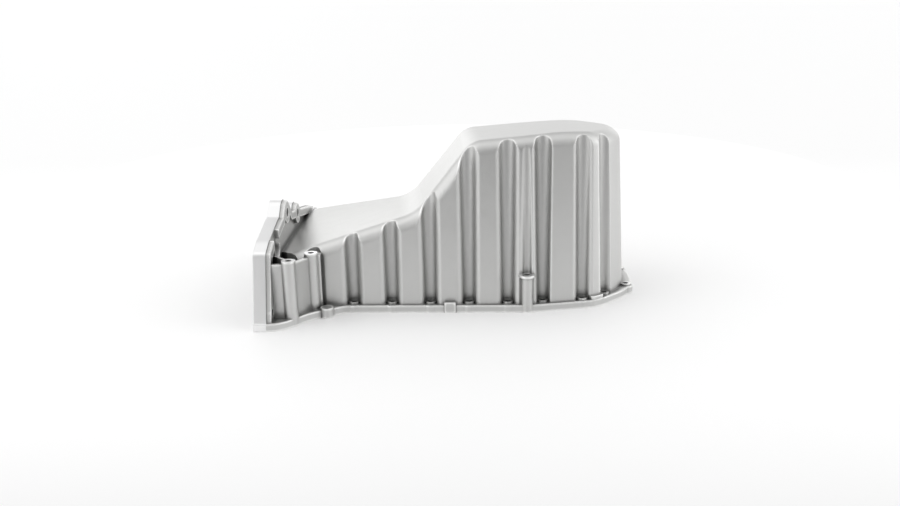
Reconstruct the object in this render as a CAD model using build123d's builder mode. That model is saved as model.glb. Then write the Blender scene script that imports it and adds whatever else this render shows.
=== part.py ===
from build123d import *
from math import atan2, degrees, radians, sqrt, tan
import os

# Engine oil pan, cast in aluminium, lying on its gasket face as it does on a bench.
# Millimetres. X runs from the gearbox flange to the front, Z up from the gasket face,
# and the XZ plane is the middle of the engine. "Near" is the -Y side, "far" the +Y side.

os.makedirs("parts", exist_ok=True)

# ---------------------------------------------------------------- driving dimensions
# walls
wall = 4.5                      # thickness of the cast walls
wall_draft = 2.5                # degrees, so that the casting leaves its mould
shoulder_radius = 16            # round between the walls and the floor of the pan
# gasket rail
rail_thickness = 9
rail_half_width = 111           # middle of the engine to the long edge of the rail
rail_ledge = 3                  # rail beyond the foot of the side walls
rail_edge_chamfer = 0.8
nose_x = 441                    # front end of the rail
nose_ledge = 11                 # rail beyond the foot of the front wall
nose_radius = 83                # round of the front corners, in plan
taper_start_x = 311             # the long sides begin to close in here
taper_end_x = 391
taper_inset = 18                # how far they have closed in there
corner_depth = 52               # how far the corners are cut off, across the engine
taper_radius = 150
corner_radius = 34
# screws along the gasket rail
rail_hole = 7                   # clears an M6 screw
screw_pitch = 45.5              # half of the cylinder spacing
screw_start_x = 103.7
screw_count = 5                 # on the straight run of each side
screw_y = 100
screw_boss_radius = 12          # round of the rail about each of these
front_boss_radius = 9           # and about those of the front
screw_seat = (6.5, 2)           # radius of the seat under a screw's head, height above the rail
# the front screws: x, y, way out in degrees, distance to the foot of the wall
front_screws = [(326.5, 95.5, 6, 10.5), (373.5, 88, 14, 5.5), (401, 68, 44, 5.2)]
nose_screw = (431.5, 33.6)
# flutes, which leave room for a socket above each screw
flute_radius = 6.3
flute_rim_radius = 8.2          # round of the edges where a flute meets the wall
flute_draft = 1.0               # degrees, opening upward
# tall screw post on the near side
post_x = 308
post_y = 106
post_radius = 7
post_height = 45
post_seat = (9.3, 3)            # radius and thickness of the seat on top of it
post_flute_radius = 5
# floor of the pan, which is its roof as it lies here: near side, then far side
form_height = 215               # drafted forms are drawn this high, then the floor cuts them off
form_margin = 20                # and tools are drawn this far past what they cut
least_radius = 0.5              # of a round that the wall's thickness uses up
shallow_rear = (58, 78)         # height of the shallow floor at the flange
shallow_front = (118.5, 95.5)   # and where the slope to the sump begins
slope_foot_x = (181, 153)
slope_top_x = (246, 229)
sump_rear = (200, 187.5)        # height of the sump floor at its rear edge
crest_x = (345, 357)
sump_crest = (208.5, 197)       # highest line of the sump floor
sump_front = (204.5, 193.5)
slope_foot_radius = 50
slope_top_radius = 30
crest_radius = 260
# flange towards the gearbox
flange_thickness = 20
flange_face = 14.5              # the machined edge takes this much of it
flange_step = 1.2               # the cast edge behind stands back by this much
flange_rim = 11                 # width of the rim about the plate
flange_recess = 11              # depth of the face's recess, from the gearbox side
flange_back_round = 1.5
flange_rib = 6
flange_outline = [(173.5, 0), (152.5, 84.5), (133, 94), (75, 110), (20, 104), (-75, 88), (-128, 74),
                  (-152, 60), (-173.5, 0)]     # -y, z of its corners, from the near side
flange_rounds = [8, 40, 60, 60, 80, 25, 15]
gearbox_hole = 11               # clears an M10 screw
gearbox_boss_radius = 13
gearbox_screws = [(-117, 80), (-54, 109), (3, 95), (100, 71)]   # y, z
ears = (16, 14)                 # radii of the ears about the two middle ones
foot_hole = 9                   # clears an M8 screw
foot_boss_radius = 11
foot_screws = [(-160, 18), (160, 18)]
socket_notch_radius = 12        # room for a socket, cut in the rim above the first screw
# screw columns and their pockets beside the flange
corner_relief = ((14, 75), (44, 108))    # wall of the shallow end, from the flange outward
column_screws = [(39, 149), (58.5, 117)]
column_radius = 8
column_top = 76
pocket_top = 72
pocket_wall = 4.5
pocket_web = 3
pocket_end = (66, 112)
pocket_start_y = 150.5          # where its skirt leaves the flange
pocket_web_y = 126              # and where its web does
column_flute = (57, 107, 10)    # x, y, radius of the room behind the second column
far_pocket_drop = 12            # the far pocket is this much lower
rail_sweep = [(39, 160.5), (59, 135.5), (83, 119)]       # edge of the rail round the pockets
rail_sweep_ends = (12, 104)
# lugs on the near rail
sweep_lug = (75, 124, 7.5, 12)  # x, y, radius, height
sensor_lug = (218, 13, 10, 13)  # x, length, width, height
sensor_lug_reach = 1.5          # beyond the rail's edge
front_pad = (389, 83.5, 18, 13, 13.5)   # x, y, length, width, height
front_pad_turn = 35
# oil drain, on the far wall of the sump
drain_gap = 3                   # it stands midway after this many screw pitches
drain_z = 158
drain_boss_radius = 15
drain_boss_reach = 7            # beyond the wall at that height
drain_thread = 14
thread_clearance = 0.1          # all round, so the plug's plain shank doesn't bind
washer_thickness = 1.6
washer_outer = 22
plug_flange = 23
plug_flange_thickness = 3
plug_across_flats = 17
plug_head = 7
plug_shank = 14
# ---------------------------------------------------------------- worked out from them
side_y = rail_half_width - rail_ledge
lean = tan(radians(wall_draft))
front_x = nose_x - nose_ledge
flange_half_foot = flange_outline[0][0]
cavity_rear_x = flange_recess + wall
rail_screws = [(screw_start_x + i * screw_pitch, screw_y) for i in range(screw_count)]
drain_x = screw_start_x + (drain_gap + 0.5) * screw_pitch
drain_wall_y = side_y - drain_z * lean
drain_face_y = drain_wall_y + drain_boss_reach
drain_bore_radius = drain_thread / 2 + thread_clearance


def both_sides(x, y, turn=0):
    """Places on the near and far side; a tool made to point to -Y then points outward."""
    return [Location((x, -y, 0), (0, 0, turn)), Location((x, y, 0), (0, 0, 180 - turn))]


def outline(ledge, end_x, start_x):
    """Plan of the pan ahead of the flange, with the sides ledge inside the rail's edge."""
    side = rail_half_width - ledge
    near = [
        (start_x, -side),
        (taper_start_x, -side),
        (taper_end_x, -side + taper_inset),
        (end_x, -side + taper_inset + corner_depth),
    ]
    far = [(x, -y) for x, y in reversed(near)]
    rounds = [taper_radius, corner_radius, nose_radius]
    edge = FilletPolyline(*near, *far, radius=rounds + rounds[::-1])
    Line(edge @ 1, edge @ 0)


def wall_plan(inset, height):
    """Plan of the drafted walls at a height, moved inward by inset."""
    with BuildSketch(Plane.XY.offset(height)) as plan:
        with BuildLine():
            outline(rail_ledge, front_x, -form_margin)
        make_face()
        offset(amount=-inset - height * lean)
    return plan.sketch


def floor_profile(side, inset):
    """Lengthwise section of the floor at one long edge, 0 near and 1 far."""
    end_x = nose_x + form_margin
    with BuildSketch(Plane.XZ.offset((1, -1)[side] * rail_half_width)) as profile:
        with BuildLine():
            floor = FilletPolyline(
                (0, shallow_rear[side]),
                (slope_foot_x[side], shallow_front[side]),
                (slope_top_x[side], sump_rear[side]),
                (crest_x[side], sump_crest[side]),
                (end_x, sump_front[side]),
                radius=[slope_foot_radius, slope_top_radius, crest_radius],
            )
            Polyline(floor @ 1, (end_x, -form_margin), (0, -form_margin), floor @ 0)
        make_face()
        if inset:
            offset(amount=-inset, kind=Kind.INTERSECTION)
    return profile.sketch


def flute_plan(face, radius, height, inset):
    """Plan of a flute at a height, centred on its screw and open towards -Y. Its bottom and
    its two rims are arcs tangent to each other; face is the screw's distance to the wall."""
    bottom = radius + height * tan(radians(flute_draft))
    lift = 0.15                 # the rims run out just proud of the wall, so the cut is clean
    rim_y = flute_rim_radius - (face - height * lean) - lift
    rim_x = sqrt((bottom + flute_rim_radius) ** 2 - rim_y ** 2)
    tilt = degrees(atan2(-rim_y, rim_x))
    rim = max(flute_rim_radius - inset, least_radius)
    reach = rim_y - flute_rim_radius - form_margin
    with BuildSketch(Plane.XY.offset(height)) as plan:
        with BuildLine():
            CenterArc((0, 0), bottom + flute_rim_radius - rim, -tilt, 180 + 2 * tilt)
            left = CenterArc((-rim_x, rim_y), rim, -90, 90 + tilt)
            right = CenterArc((rim_x, rim_y), rim, 180 - tilt, 90 + tilt)
            Polyline(left @ 0, (-rim_x, reach), (rim_x, reach), right @ 1)
        make_face()
    return plan.sketch


def flute_cutter(face, radius, inset):
    with BuildPart() as cutter:
        add(flute_plan(face, radius, 0, inset))
        add(flute_plan(face, radius, form_height, inset))
        loft(ruled=True)
    return cutter.part


def pan_form(inset):
    """The fluted body with every wall moved inward by inset: at 0 its outside, and at the
    wall's thickness its inside."""
    with BuildPart() as floor_form:
        add(floor_profile(0, inset))
        add(floor_profile(1, inset))
        loft(ruled=True)
    with BuildPart() as form:
        add(wall_plan(inset, 0))
        add(wall_plan(inset, form_height))
        loft(ruled=True)
        add(floor_form.part, mode=Mode.INTERSECT)
        floors = form.faces().filter_by(lambda f: f.normal_at().Z > 0.5)
        sides = form.faces().filter_by(lambda f: abs(f.normal_at().Z) < 0.2 and f.center().X > 0)
        side_edges = sides.edges()
        shoulders = [e for e in floors.edges() if e in side_edges]
        fillet(shoulders, max(shoulder_radius - inset, least_radius))
        # flutes above the screws, and behind the second column
        straight = flute_cutter(side_y - screw_y, flute_radius, inset)
        for x, y in rail_screws:
            with Locations(*both_sides(x, y)):
                add(straight, mode=Mode.SUBTRACT)
        for x, y, turn, face in front_screws:
            with Locations(*both_sides(x, y, turn)):
                add(flute_cutter(face, flute_radius, inset), mode=Mode.SUBTRACT)
        x, y, radius = column_flute
        with Locations(*both_sides(x, y)):
            add(flute_cutter(side_y - y, radius, inset), mode=Mode.SUBTRACT)
        with Locations(both_sides(post_x, post_y)[0]):
            add(flute_cutter(side_y - post_y, post_flute_radius, inset), mode=Mode.SUBTRACT)
        # the walls turn in to the flange at the shallow end
        (x0, y0), (x1, y1) = corner_relief
        start_y = y0 - x0 * (y1 - y0) / (x1 - x0)
        clear_y = y1 + form_margin
        for way in (-1, 1):
            with BuildSketch():
                with BuildLine():
                    Polyline((0, way * start_y), (x1, way * y1), (x1, way * clear_y),
                             (0, way * clear_y), close=True)
                make_face()
                if inset:
                    offset(amount=inset, kind=Kind.INTERSECTION)
            extrude(amount=form_height, mode=Mode.SUBTRACT)
    return form.part


with BuildPart() as body:
    add(pan_form(0))
    split(bisect_by=Plane.YZ.offset(flange_recess + wall / 2), keep=Keep.TOP)
with BuildPart() as hollow:
    add(pan_form(wall))
    split(bisect_by=Plane.YZ.offset(cavity_rear_x), keep=Keep.TOP)


def rail_plan():
    """Outline of the gasket rail with its sweep out to the flange on both sides."""
    start_x, end_x = rail_sweep_ends
    sweep = [(start_x, flange_half_foot), *rail_sweep, (end_x, rail_half_width)]
    with BuildSketch() as plan:
        with BuildLine():
            outline(0, nose_x, end_x)
        make_face()
        for way in (-1, 1):
            with BuildLine():
                curve = Spline(*[(x, way * y) for x, y in sweep], tangents=[(1, 0), (1, 0)])
                Polyline(curve @ 1, (end_x, 0), (0, 0), (0, way * flange_half_foot), curve @ 0)
            make_face()
        for x, y in rail_screws:
            with Locations((x, -y), (x, y)):
                Circle(screw_boss_radius)
        for x, y, *_ in front_screws + [nose_screw]:
            with Locations((x, -y), (x, y)):
                Circle(front_boss_radius)
    return plan.sketch


# flange towards the gearbox: a plate between two recesses, with a rim all round
with BuildPart() as flange:
    with BuildSketch(Plane.YZ) as flange_face_plan:
        with BuildLine():
            edge = FilletPolyline(*[(-y, z) for y, z in flange_outline], radius=flange_rounds)
            Line(edge @ 1, edge @ 0)
        make_face()
        for (y, z), radius in zip(gearbox_screws[1:3], ears):
            top = radius / sqrt(2)
            low = radius + top
            with Locations((y, z)):
                Circle(radius)
                Polygon((-top, top), (top, top), (top + low, -radius), (-top - low, -radius),
                        align=None)
    extrude(amount=flange_face)
    with BuildSketch(Plane.YZ.offset(flange_face)):
        add(flange_face_plan.sketch_local)
        offset(amount=-flange_step)
    extrude(amount=flange_thickness - flange_face)
    back = flange.faces().sort_by(Axis.X)[-1]
    fillet([e for e in back.edges() if e.center().Z > 2 * flange_step], flange_back_round)
    with BuildSketch(Plane.YZ.offset(cavity_rear_x)):
        add(flange_face_plan.sketch_local)
        offset(amount=-flange_rim)
        with Locations(*gearbox_screws):
            Circle(gearbox_boss_radius, mode=Mode.SUBTRACT)
        with Locations(*foot_screws):
            Circle(foot_boss_radius, mode=Mode.SUBTRACT)
    extrude(amount=flange_thickness, mode=Mode.SUBTRACT)


with BuildPart() as pan_casting:
    # gasket rail and walls
    add(rail_plan())
    extrude(amount=rail_thickness)
    rail_top = pan_casting.faces().sort_by(Axis.Z)[-1]
    chamfer(rail_top.edges(), rail_edge_chamfer)
    add(body.part)
    add(flange.part)
    # screw columns and pockets beside it
    for way, drop in ((-1, 0), (1, far_pocket_drop)):
        columns = [(x, way * y) for x, y in column_screws]
        with BuildSketch():
            with BuildLine() as skirt:
                Polyline((cavity_rear_x, way * pocket_start_y), *columns,
                         (pocket_end[0], way * pocket_end[1]), (pocket_end[0], way * screw_y))
            trace(skirt.line, line_width=pocket_wall)
        extrude(amount=pocket_top - drop)
        with BuildSketch():
            with BuildLine() as web_line:
                Line((cavity_rear_x, way * pocket_web_y), columns[0])
            trace(web_line.line, line_width=pocket_web)
        extrude(amount=column_top - drop)
        with BuildSketch():
            with Locations(*columns):
                Circle(column_radius)
        extrude(amount=column_top - drop)
    # seats of the rail's screws
    with BuildSketch():
        for x, y, *_ in rail_screws + front_screws + [nose_screw]:
            with Locations((x, -y), (x, y)):
                Circle(screw_seat[0])
    extrude(amount=rail_thickness + screw_seat[1])
    # post and lugs of the near rail
    with BuildSketch():
        with Locations((post_x, -post_y)):
            Circle(post_radius)
    extrude(amount=post_height)
    seat_radius, seat_thickness = post_seat
    with BuildSketch(Plane.XY.offset(post_height - seat_thickness)):
        with Locations((post_x, -post_y)):
            Circle(seat_radius)
    extrude(amount=seat_thickness)
    x, y, radius, height = sweep_lug
    with BuildSketch():
        with Locations((x, -y)):
            Circle(radius)
    extrude(amount=height)
    x, length, width, height = sensor_lug
    with BuildSketch():
        with Locations((x, -rail_half_width - sensor_lug_reach + width / 2)):
            Rectangle(length, width)
    extrude(amount=height)
    x, y, length, width, height = front_pad
    with BuildSketch():
        with Locations(Location((x, -y, 0), (0, 0, front_pad_turn))):
            RectangleRounded(length, width, width / 4)
    extrude(amount=height)
    # boss of the oil drain, on the far wall
    with BuildSketch(Plane.XZ.offset(-drain_face_y)):
        with Locations((drain_x, drain_z)):
            Circle(drain_boss_radius)
    extrude(amount=drain_boss_reach + drain_boss_radius)
    # inside
    add(hollow.part, mode=Mode.SUBTRACT)
    # recess in the flange's face, with bosses and ribs left standing
    with BuildSketch(Plane.YZ):
        add(flange_face_plan.sketch_local)
        offset(amount=-flange_rim)
        with Locations(*gearbox_screws):
            Circle(gearbox_boss_radius, mode=Mode.SUBTRACT)
        with Locations(*foot_screws):
            Circle(foot_boss_radius, mode=Mode.SUBTRACT)
        for y, z in gearbox_screws[1:]:
            with Locations((y, z / 2)):
                Rectangle(flange_rib, z, mode=Mode.SUBTRACT)
    extrude(amount=flange_recess, mode=Mode.SUBTRACT)
    # holes towards the gearbox, and room for a socket behind one of them
    with Locations(*[Location((0, y, z), (0, 90, 0)) for y, z in gearbox_screws]):
        Cylinder(gearbox_hole / 2, 2 * flange_thickness, mode=Mode.SUBTRACT)
    with Locations(*[Location((0, y, z), (0, 90, 0)) for y, z in foot_screws]):
        Cylinder(foot_hole / 2, 2 * flange_thickness, mode=Mode.SUBTRACT)
    y, z = gearbox_screws[0]
    with BuildSketch(Plane.YZ.offset(flange_face)):
        with Locations((y, z)):
            Circle(socket_notch_radius)
        with Locations((y, z + form_margin)):
            Rectangle(2 * socket_notch_radius, 2 * form_margin)
    extrude(amount=flange_thickness, mode=Mode.SUBTRACT)
    # screw holes of the rail, the columns and the post
    for x, y, *_ in rail_screws + front_screws + [nose_screw] + column_screws:
        with Locations((x, -y), (x, y)):
            Cylinder(rail_hole / 2, 4 * column_top, mode=Mode.SUBTRACT)
    with Locations((post_x, -post_y)):
        Cylinder(rail_hole / 2, 4 * post_height, mode=Mode.SUBTRACT)
    # drain bore
    with Locations(Location((drain_x, drain_wall_y, drain_z), (90, 0, 0))):
        Cylinder(drain_bore_radius, screw_y, mode=Mode.SUBTRACT)
pan_casting.part.label = "pan_casting"

with BuildPart() as drain_washer:
    with BuildSketch(Plane.XZ.offset(-drain_face_y)):
        with Locations((drain_x, drain_z)):
            Circle(washer_outer / 2)
            Circle(drain_bore_radius, mode=Mode.SUBTRACT)
    extrude(amount=-washer_thickness)
drain_washer.part.label = "drain_washer"

with BuildPart() as drain_plug:
    seat_y = drain_face_y + washer_thickness
    with BuildSketch(Plane.XZ.offset(-seat_y)):
        with Locations((drain_x, drain_z)):
            Circle(plug_flange / 2)
    extrude(amount=-plug_flange_thickness)
    with BuildSketch(Plane.XZ.offset(-seat_y - plug_flange_thickness)):
        with Locations((drain_x, drain_z)):
            RegularPolygon(plug_across_flats / 2, 6, major_radius=False)
    extrude(amount=-plug_head)
    with BuildSketch(Plane.XZ.offset(-seat_y)):
        with Locations((drain_x, drain_z)):
            Circle(drain_thread / 2)
    extrude(amount=plug_shank)
drain_plug.part.label = "drain_plug"

# the origin of the finished files is the middle of the pan, on the plane of the gasket
for piece in (pan_casting, drain_washer, drain_plug):
    placed = piece.part.moved(Location((-nose_x / 2, 0, 0)))
    placed.label = piece.part.label
    export_step(placed, f"parts/{placed.label}.step")
print(pan_casting.part.volume, len(pan_casting.solids()), len(pan_casting.faces()))
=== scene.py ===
import math

import bmesh
import bpy
from mathutils import Matrix, Vector


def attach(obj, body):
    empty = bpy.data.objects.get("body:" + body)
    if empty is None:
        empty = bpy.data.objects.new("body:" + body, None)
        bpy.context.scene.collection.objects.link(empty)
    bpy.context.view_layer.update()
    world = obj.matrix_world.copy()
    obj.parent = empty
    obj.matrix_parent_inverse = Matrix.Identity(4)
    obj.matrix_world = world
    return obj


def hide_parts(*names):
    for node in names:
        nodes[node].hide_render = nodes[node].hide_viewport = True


# A cast aluminium oil pan on a round white table, in soft light. Metres, Z up. The frame's
# origin is the middle of the pan on the plane of its gasket face, +X runs to its front.

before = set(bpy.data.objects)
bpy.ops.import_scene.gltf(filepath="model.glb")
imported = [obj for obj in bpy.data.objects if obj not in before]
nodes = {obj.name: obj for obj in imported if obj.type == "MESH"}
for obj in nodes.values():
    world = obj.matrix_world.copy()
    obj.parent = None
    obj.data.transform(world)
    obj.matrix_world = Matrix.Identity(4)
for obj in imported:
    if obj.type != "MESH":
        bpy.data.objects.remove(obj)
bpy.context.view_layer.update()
scene = bpy.context.scene

# ------------------------------------------------------------------ settings, in metres
# soft edges
body_softness = 0.0020          # radius of the rounded look of the walls' edges
detail_softness = 0.0012        # and of small details near the rail and the flange
above_rail = (0.014, 0.030)     # the walls' radius comes in over this height
ahead_of_flange = (-0.150, -0.135)          # and over this length
fitting_softness = 0.0003       # edges of the plug and the washer
edge_samples = 6
# blasted skin of the casting
cast_colour = (0.60, 0.60, 0.592, 1)
cast_roughness = 0.44
mottle = 0.10                   # how far the roughness varies over the skin
mottle_scale = 120.0
grain_scale = 900.0
grain_depth = 0.00012
wave_scale = 38.0
wave_depth = 0.0006
# painted highlight on rounds and painted shade in hollows, found by how closed in a point is
painted_highlight_colour = (0.93, 0.93, 0.92, 1)       # painted highlight on outward rounds
round_reach = 0.0034            # less than the wall, so that flat walls count as open
round_closed = (0.06, 0.38)     # share closed in, seen from inside the metal
hollow_painted_shade = (0.31, 0.31, 0.305, 1)      # painted shade in the bottoms of flutes
hollow_reach = 0.009
hollow_closed = (0.06, 0.40)
# painted shade for tight corners and deep pockets
recess_painted_shade = (0.08, 0.08, 0.08, 1)
recess_reach = 0.015            # corners closer than this get painted shade
recess_open = 0.34              # share of open room at which the shade begins
recess_full = 0.06              # and at which it is full
closeness_samples = 8
# machined faces
machined_colour = (0.86, 0.86, 0.86, 1)
machined_roughness = 0.35
machined_grain = 0.15           # share of the grain that is left on them
flange_face_x = -0.2205         # outer face of the gearbox flange
flange_machined = 0.0145        # its edge is machined this far back
joint_depth = 0.0005            # what faces outward deeper than this is a cast recess floor
seat_levels = (0.076, 0.064, 0.045)         # tops of the screw columns and of the post
seat_tolerance = 0.0002
facing_up = 0.99                # least upward part of a seat's normal
facing_out = -0.9               # greatest X part of the joint face's normal
# plug and washer
copper_colour = (0.72, 0.36, 0.24, 1)
copper_roughness = 0.42
zinc_colour = (0.55, 0.55, 0.53, 1)
zinc_roughness = 0.32
fitting_grain = 0.00003
# floor
floor_radius = 60.0
floor_roughness = 0.7
table_radius = 0.771
table_middle = (-0.0446, 0.66, 0.0)
table_edge = 0.006              # half the width over which its edge fades
table_colour = (0.97, 0.97, 0.97, 1)
beyond_colour = (0.91, 0.91, 0.91, 1)       # the floor past the far edge of the table
beyond_fade = (0.35, 0.95)                  # which shows only this far behind the pan
near_painted_shade = (0.30, 0.30, 0.30, 1)         # painted shade: the floor where it runs out of the light
near_fade = (-0.30, -1.30)                  # between these two places
# camera
camera_place = (0.0546, -1.1397, 0.3683)
camera_look = (-0.0522, 0.9599, -0.2756)
camera_roll = -1.2              # degrees
camera_lens = 37.2              # millimetres, on a sensor of this width
camera_sensor = 36.0
camera_near = 0.01
# panels of the room's light: direction, sharpness, strength
room_lights = [
    ((0.0, 0.0, 1.0), 2, 0.85),             # overhead
    ((-0.38, 0.91, 0.15), 14, 1.85),        # behind the pan, to the left
    ((0.38, 0.91, 0.15), 14, 1.45),         # and to the right
    ((-1.0, 0.0, 0.1), 6, 0.50),            # left
    ((-0.77, -0.64, 0.12), 16, 1.85),       # front left
    ((-0.5, -0.87, 0.12), 20, 0.60),        # front, a little left
    ((1.0, 0.0, 0.1), 6, 1.60),             # right
    ((0.77, -0.64, 0.12), 16, 0.60),        # front right
    ((-0.75, 0.0, 0.66), 6, 1.00),          # high left
    ((0.75, 0.0, 0.66), 6, 0.50),           # high right
    ((0.0, 0.0, 1.0), 0, 0.15),             # all round
]
least_facing = 0.0001           # keeps the power of a panel's light defined behind it
# the casting's joined surface
same_point = 0.000002           # corners closer than this are one point


# ------------------------------------------------------------------ node helpers
def group(name, inputs, outputs):
    """A new shader node group with named sockets, and its input and output nodes."""
    tree = bpy.data.node_groups.new(name, "ShaderNodeTree")
    for label, kind, value in inputs:
        socket = tree.interface.new_socket(label, in_out="INPUT", socket_type=kind)
        socket.default_value = value
    for label, kind in outputs:
        tree.interface.new_socket(label, in_out="OUTPUT", socket_type=kind)
    return tree, tree.nodes.new("NodeGroupInput"), tree.nodes.new("NodeGroupOutput")


def math_node(tree, operation, *values):
    """A math node whose inputs are sockets or plain numbers."""
    node = tree.nodes.new("ShaderNodeMath")
    node.operation = operation
    for socket, value in zip(node.inputs, values):
        if isinstance(value, bpy.types.NodeSocket):
            tree.links.new(value, socket)
        else:
            socket.default_value = value
    return node.outputs[0]


def ramp(tree, value, start, end):
    """A smooth 0 to 1 while value goes from start to end."""
    span = tree.nodes.new("ShaderNodeMapRange")
    span.interpolation_type = "SMOOTHSTEP"
    tree.links.new(value, span.inputs["Value"])
    span.inputs["From Min"].default_value = start
    span.inputs["From Max"].default_value = end
    return span.outputs["Result"]


def noise(tree, place, scale, detail, roughness=0.5):
    """Noise from 0 to 1; scale is a socket or a number."""
    node = tree.nodes.new("ShaderNodeTexNoise")
    node.inputs["Detail"].default_value = detail
    node.inputs["Roughness"].default_value = roughness
    tree.links.new(place, node.inputs["Vector"])
    if isinstance(scale, bpy.types.NodeSocket):
        tree.links.new(scale, node.inputs["Scale"])
    else:
        node.inputs["Scale"].default_value = scale
    return node.outputs["Fac"]


def mix_colour(tree, factor, first, second):
    """The first colour where factor is 0, the second where it is 1."""
    mix = tree.nodes.new("ShaderNodeMix")
    mix.data_type = "RGBA"
    tree.links.new(factor, mix.inputs["Factor"])
    for label, colour in (("A", first), ("B", second)):
        if isinstance(colour, bpy.types.NodeSocket):
            tree.links.new(colour, mix.inputs[label])
        else:
            mix.inputs[label].default_value = colour
    return mix.outputs["Result"]


def use(tree, group_tree, **values):
    """Places a group in a material, with its own values; a name's _ stands for a space."""
    node = tree.nodes.new("ShaderNodeGroup")
    node.node_tree = group_tree
    for label, value in values.items():
        node.inputs[label.replace("_", " ")].default_value = value
    return node


def split_place(tree):
    """X, Y and Z of the point on the piece itself."""
    apart = tree.nodes.new("ShaderNodeSeparateXYZ")
    tree.links.new(tree.nodes.new("ShaderNodeTexCoord").outputs["Object"], apart.inputs[0])
    return apart.outputs


def closeness(tree, reach, inside=False, local=False):
    """1 where nothing is within reach of the point, less where it is closed in."""
    node = tree.nodes.new("ShaderNodeAmbientOcclusion")
    node.inside = inside
    node.only_local = local
    node.samples = closeness_samples
    tree.links.new(reach, node.inputs["Distance"])
    return node.outputs["AO"]


# ------------------------------------------------------------------ node groups, built once
def blasted_surface():
    """Grain of a bead-blasted casting: soft edges, fine pits and a slight unevenness."""
    tree, source, sink = group(
        "BlastedSurface",
        [
            ("Grain Scale", "NodeSocketFloat", grain_scale),
            ("Grain Depth", "NodeSocketFloat", grain_depth),
            ("Wave Scale", "NodeSocketFloat", wave_scale),
            ("Wave Depth", "NodeSocketFloat", wave_depth),
            ("Edge Radius", "NodeSocketFloat", detail_softness),
        ],
        [("Normal", "NodeSocketVector"), ("Mottle", "NodeSocketFloat")],
    )
    place = tree.nodes.new("ShaderNodeTexCoord").outputs["Object"]
    edge = tree.nodes.new("ShaderNodeBevel")
    edge.samples = edge_samples
    tree.links.new(source.outputs["Edge Radius"], edge.inputs["Radius"])
    fine = noise(tree, place, source.outputs["Grain Scale"], detail=2.0)
    wave = noise(tree, place, source.outputs["Wave Scale"], detail=2.0)
    normal = edge.outputs["Normal"]
    for height, depth in ((wave, "Wave Depth"), (fine, "Grain Depth")):
        bump = tree.nodes.new("ShaderNodeBump")
        bump.inputs["Strength"].default_value = 1.0
        tree.links.new(source.outputs[depth], bump.inputs["Distance"])
        tree.links.new(height, bump.inputs["Height"])
        tree.links.new(normal, bump.inputs["Normal"])
        normal = bump.outputs["Normal"]
    tree.links.new(normal, sink.inputs["Normal"])
    uneven = noise(tree, place, mottle_scale, detail=4.0, roughness=0.6)
    tree.links.new(uneven, sink.inputs["Mottle"])
    return tree


def machined_mask():
    """1 on the flange's joint face and machined edge, and on the seats of tall screws."""
    tree, source, sink = group(
        "MachinedMask",
        [("Flange Edge", "NodeSocketFloat", flange_face_x + flange_machined)],
        [("Mask", "NodeSocketFloat")],
    )
    place = split_place(tree)
    geometry = tree.nodes.new("ShaderNodeNewGeometry")
    facing = tree.nodes.new("ShaderNodeSeparateXYZ")
    tree.links.new(geometry.outputs["True Normal"], facing.inputs[0])
    on_flange = math_node(tree, "LESS_THAN", place["X"], source.outputs["Flange Edge"])
    upward = math_node(tree, "GREATER_THAN", facing.outputs["Z"], facing_up)
    outward = math_node(tree, "LESS_THAN", facing.outputs["X"], facing_out)
    deep = math_node(tree, "GREATER_THAN", place["X"], flange_face_x + joint_depth)
    recess_floor = math_node(tree, "MULTIPLY", outward, deep)
    mask = math_node(tree, "SUBTRACT", on_flange, recess_floor)
    mask = math_node(tree, "MAXIMUM", mask, 0.0)
    for level in seat_levels:
        seat = math_node(tree, "COMPARE", place["Z"], level, seat_tolerance)
        mask = math_node(tree, "MAXIMUM", mask, math_node(tree, "MULTIPLY", seat, upward))
    tree.links.new(mask, sink.inputs["Mask"])
    return tree


def recess_shade():
    """1 in tight corners and deep pockets, where the colour gets painted shade."""
    tree, source, sink = group(
        "RecessShade",
        [
            ("Reach", "NodeSocketFloat", recess_reach),
            ("Open", "NodeSocketFloat", recess_open),
            ("Closed", "NodeSocketFloat", recess_full),
        ],
        [("Shade", "NodeSocketFloat")],
    )
    span = tree.nodes.new("ShaderNodeMapRange")
    span.interpolation_type = "SMOOTHSTEP"
    tree.links.new(closeness(tree, source.outputs["Reach"]), span.inputs["Value"])
    tree.links.new(source.outputs["Open"], span.inputs["From Min"])
    tree.links.new(source.outputs["Closed"], span.inputs["From Max"])
    tree.links.new(span.outputs["Result"], sink.inputs["Shade"])
    return tree


def soft_edges():
    """Edge radius: small near the rail and the flange, larger on the walls and the floor."""
    tree, source, sink = group(
        "SoftEdges",
        [
            ("Fine", "NodeSocketFloat", detail_softness),
            ("Broad", "NodeSocketFloat", body_softness),
        ],
        [("Radius", "NodeSocketFloat")],
    )
    place = split_place(tree)
    above = ramp(tree, place["Z"], *above_rail)
    ahead = ramp(tree, place["X"], *ahead_of_flange)
    both = math_node(tree, "MULTIPLY", above, ahead)
    radius = tree.nodes.new("ShaderNodeMix")
    tree.links.new(both, radius.inputs["Factor"])
    tree.links.new(source.outputs["Fine"], radius.inputs["A"])
    tree.links.new(source.outputs["Broad"], radius.inputs["B"])
    tree.links.new(radius.outputs["Result"], sink.inputs["Radius"])
    return tree


def painted_rounds_and_hollows():
    """Two masks: outward rounds, which get a painted highlight, and the bottoms of flutes, which
    get painted shade.
    """
    tree, source, sink = group(
        "PaintedRoundsAndHollows",
        [
            ("Round Reach", "NodeSocketFloat", round_reach),
            ("Hollow Reach", "NodeSocketFloat", hollow_reach),
        ],
        [("Painted Highlight", "NodeSocketFloat"), ("Hollow", "NodeSocketFloat")],
    )
    for name, reach, inside, closed in (
        ("Painted Highlight", "Round Reach", True, round_closed),
        ("Hollow", "Hollow Reach", False, hollow_closed),
    ):
        share_open = closeness(tree, source.outputs[reach], inside, local=True)
        share_closed = math_node(tree, "SUBTRACT", 1.0, share_open)
        tree.links.new(ramp(tree, share_closed, *closed), sink.inputs[name])
    return tree


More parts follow.
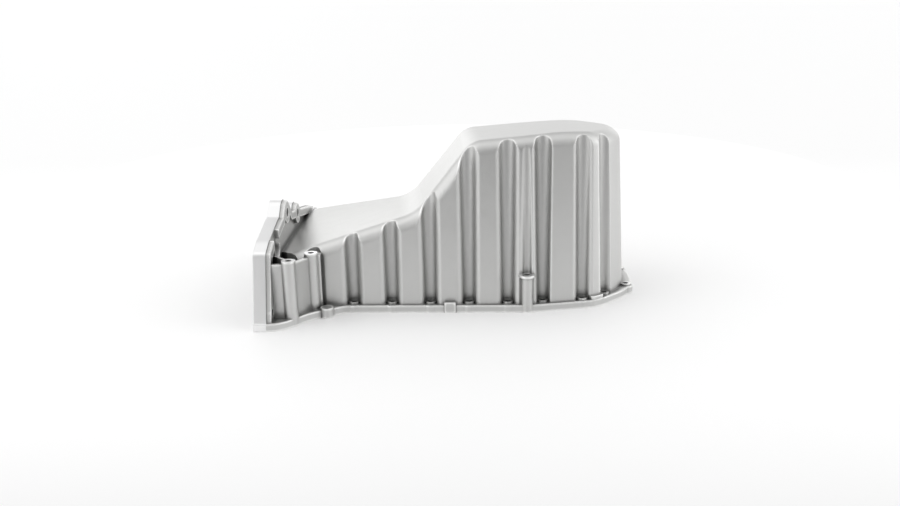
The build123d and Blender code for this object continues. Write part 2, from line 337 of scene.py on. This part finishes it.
def new_material(name):
    """A material, its node tree and its shader."""
    material = bpy.data.materials.new(name)
    material.use_nodes = True
    return material, material.node_tree, material.node_tree.nodes["Principled BSDF"]


surface_group = blasted_surface()
mask_group = machined_mask()
recess_group = recess_shade()
edge_group = soft_edges()
round_group = painted_rounds_and_hollows()


def cast_aluminium():
    """Blasted casting with machined faces, a painted highlight on rounds and painted shade in
    flutes and corners.
    """
    material, tree, shader = new_material("cast_aluminium")
    shader.inputs["Metallic"].default_value = 1.0
    surface = use(tree, surface_group)
    edge = use(tree, edge_group, Fine=detail_softness, Broad=body_softness)
    tree.links.new(edge.outputs["Radius"], surface.inputs["Edge Radius"])
    tree.links.new(surface.outputs["Normal"], shader.inputs["Normal"])
    mask = use(tree, mask_group).outputs["Mask"]
    grain_left = math_node(tree, "MULTIPLY_ADD", mask, machined_grain - 1.0, 1.0)
    for depth, name in ((grain_depth, "Grain Depth"), (wave_depth, "Wave Depth")):
        tree.links.new(math_node(tree, "MULTIPLY", grain_left, depth), surface.inputs[name])
    rounds = use(tree, round_group, Round_Reach=round_reach, Hollow_Reach=hollow_reach)
    # painted highlight on outward rounds
    clean = mix_colour(tree, rounds.outputs["Painted Highlight"], cast_colour, painted_highlight_colour)
    # painted shade in the bottoms of flutes
    clean = mix_colour(tree, rounds.outputs["Hollow"], clean, hollow_painted_shade)
    clean = mix_colour(tree, mask, clean, machined_colour)
    # painted shade in tight corners and deep pockets
    shade = use(tree, recess_group, Reach=recess_reach).outputs["Shade"]
    tree.links.new(mix_colour(tree, shade, clean, recess_painted_shade), shader.inputs["Base Color"])
    least = cast_roughness - mottle / 2
    rough = math_node(tree, "MULTIPLY_ADD", surface.outputs["Mottle"], mottle, least)
    less = math_node(tree, "MULTIPLY", mask, cast_roughness - machined_roughness)
    rough = math_node(tree, "SUBTRACT", rough, less)
    tree.links.new(rough, shader.inputs["Roughness"])
    return material


def plain_metal(name, colour, roughness):
    """Turned metal of one colour, for the plug and the washer."""
    material, tree, shader = new_material(name)
    shader.inputs["Metallic"].default_value = 1.0
    shader.inputs["Base Color"].default_value = colour
    shader.inputs["Roughness"].default_value = roughness
    surface = use(
        tree,
        surface_group,
        Edge_Radius=fitting_softness,
        Grain_Depth=fitting_grain,
        Wave_Depth=0.0,
    )
    tree.links.new(surface.outputs["Normal"], shader.inputs["Normal"])
    return material


def dress(obj, material):
    """Gives the object this material alone."""
    obj.data.materials.clear()
    obj.data.materials.append(material)


def joined_copy(node):
    """The node's own surface with its loose triangles joined, so that soft edges run across
    them. Each corner keeps the direction it had."""
    mesh = node.data.copy()
    kept = mesh.attributes.new("kept_normal", "FLOAT_VECTOR", "CORNER")
    directions = [0.0] * (3 * len(mesh.loops))
    mesh.corner_normals.foreach_get("vector", directions)
    kept.data.foreach_set("vector", directions)
    shape = bmesh.new()
    shape.from_mesh(mesh)
    bmesh.ops.remove_doubles(shape, verts=shape.verts, dist=same_point)
    shape.to_mesh(mesh)
    shape.free()
    kept = mesh.attributes["kept_normal"]
    mesh.normals_split_custom_set([item.vector.copy() for item in kept.data])
    mesh.attributes.remove(kept)
    obj = bpy.data.objects.new("pan_casting_surface", mesh)
    scene.collection.objects.link(obj)
    return obj


casting = joined_copy(nodes["pan_casting"])
dress(casting, cast_aluminium())
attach(casting, "root")
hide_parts("pan_casting")
dress(nodes["drain_washer"], plain_metal("washer_copper", copper_colour, copper_roughness))
dress(nodes["drain_plug"], plain_metal("plug_steel", zinc_colour, zinc_roughness))


# ------------------------------------------------------------------ floor and room
def studio_floor():
    """A pale floor, a little darker past the round table and painted grey as shade where the
    light ends.
    """
    mesh = bpy.data.meshes.new("floor")
    shape = bmesh.new()
    bmesh.ops.create_circle(shape, cap_ends=True, segments=128, radius=floor_radius)
    shape.to_mesh(mesh)
    shape.free()
    obj = bpy.data.objects.new("floor", mesh)
    scene.collection.objects.link(obj)
    material, tree, shader = new_material("floor")
    shader.inputs["Roughness"].default_value = floor_roughness
    place = tree.nodes.new("ShaderNodeTexCoord").outputs["Object"]
    away = tree.nodes.new("ShaderNodeVectorMath")
    away.operation = "DISTANCE"
    tree.links.new(place, away.inputs[0])
    away.inputs[1].default_value = table_middle
    away = away.outputs["Value"]
    past = ramp(tree, away, table_radius - table_edge, table_radius + table_edge)
    depth = split_place(tree)["Y"]
    past = math_node(tree, "MULTIPLY", past, ramp(tree, depth, *beyond_fade))
    tint = mix_colour(tree, past, table_colour, beyond_colour)
    # painted shade on the floor towards the near side
    fade = ramp(tree, depth, *near_fade)
    tree.links.new(mix_colour(tree, fade, tint, near_painted_shade), shader.inputs["Base Color"])
    dress(obj, material)


studio_floor()


def room():
    """Soft light from wide panels all round, each with its direction, sharpness and strength."""
    world = bpy.data.worlds.new("room")
    scene.world = world
    world.use_nodes = True
    tree = world.node_tree
    background = tree.nodes["Background"]
    place = tree.nodes.new("ShaderNodeTexCoord").outputs["Generated"]
    light = 0.0
    for direction, sharpness, strength in room_lights:
        toward = tree.nodes.new("ShaderNodeVectorMath")
        toward.operation = "DOT_PRODUCT"
        tree.links.new(place, toward.inputs[0])
        toward.inputs[1].default_value = Vector(direction).normalized()
        part = math_node(tree, "MAXIMUM", toward.outputs["Value"], least_facing)
        part = math_node(tree, "POWER", part, sharpness)
        light = math_node(tree, "MULTIPLY_ADD", part, strength, light)
    tree.links.new(light, background.inputs["Strength"])
    background.inputs["Color"].default_value = (1, 1, 1, 1)


room()


# ------------------------------------------------------------------ camera
def set_camera():
    """A long, slightly high view from the near side."""
    data = bpy.data.cameras.new("camera")
    data.sensor_width = camera_sensor
    data.lens = camera_lens
    data.clip_start = camera_near
    camera = bpy.data.objects.new("camera", data)
    scene.collection.objects.link(camera)
    scene.camera = camera
    look = Vector(camera_look).normalized().to_track_quat("-Z", "Y").to_matrix()
    turn = look @ Matrix.Rotation(math.radians(camera_roll), 3, "Z")
    camera.matrix_world = Matrix.Translation(camera_place) @ turn.to_4x4()


set_camera()
scene.view_settings.view_transform = "Standard"
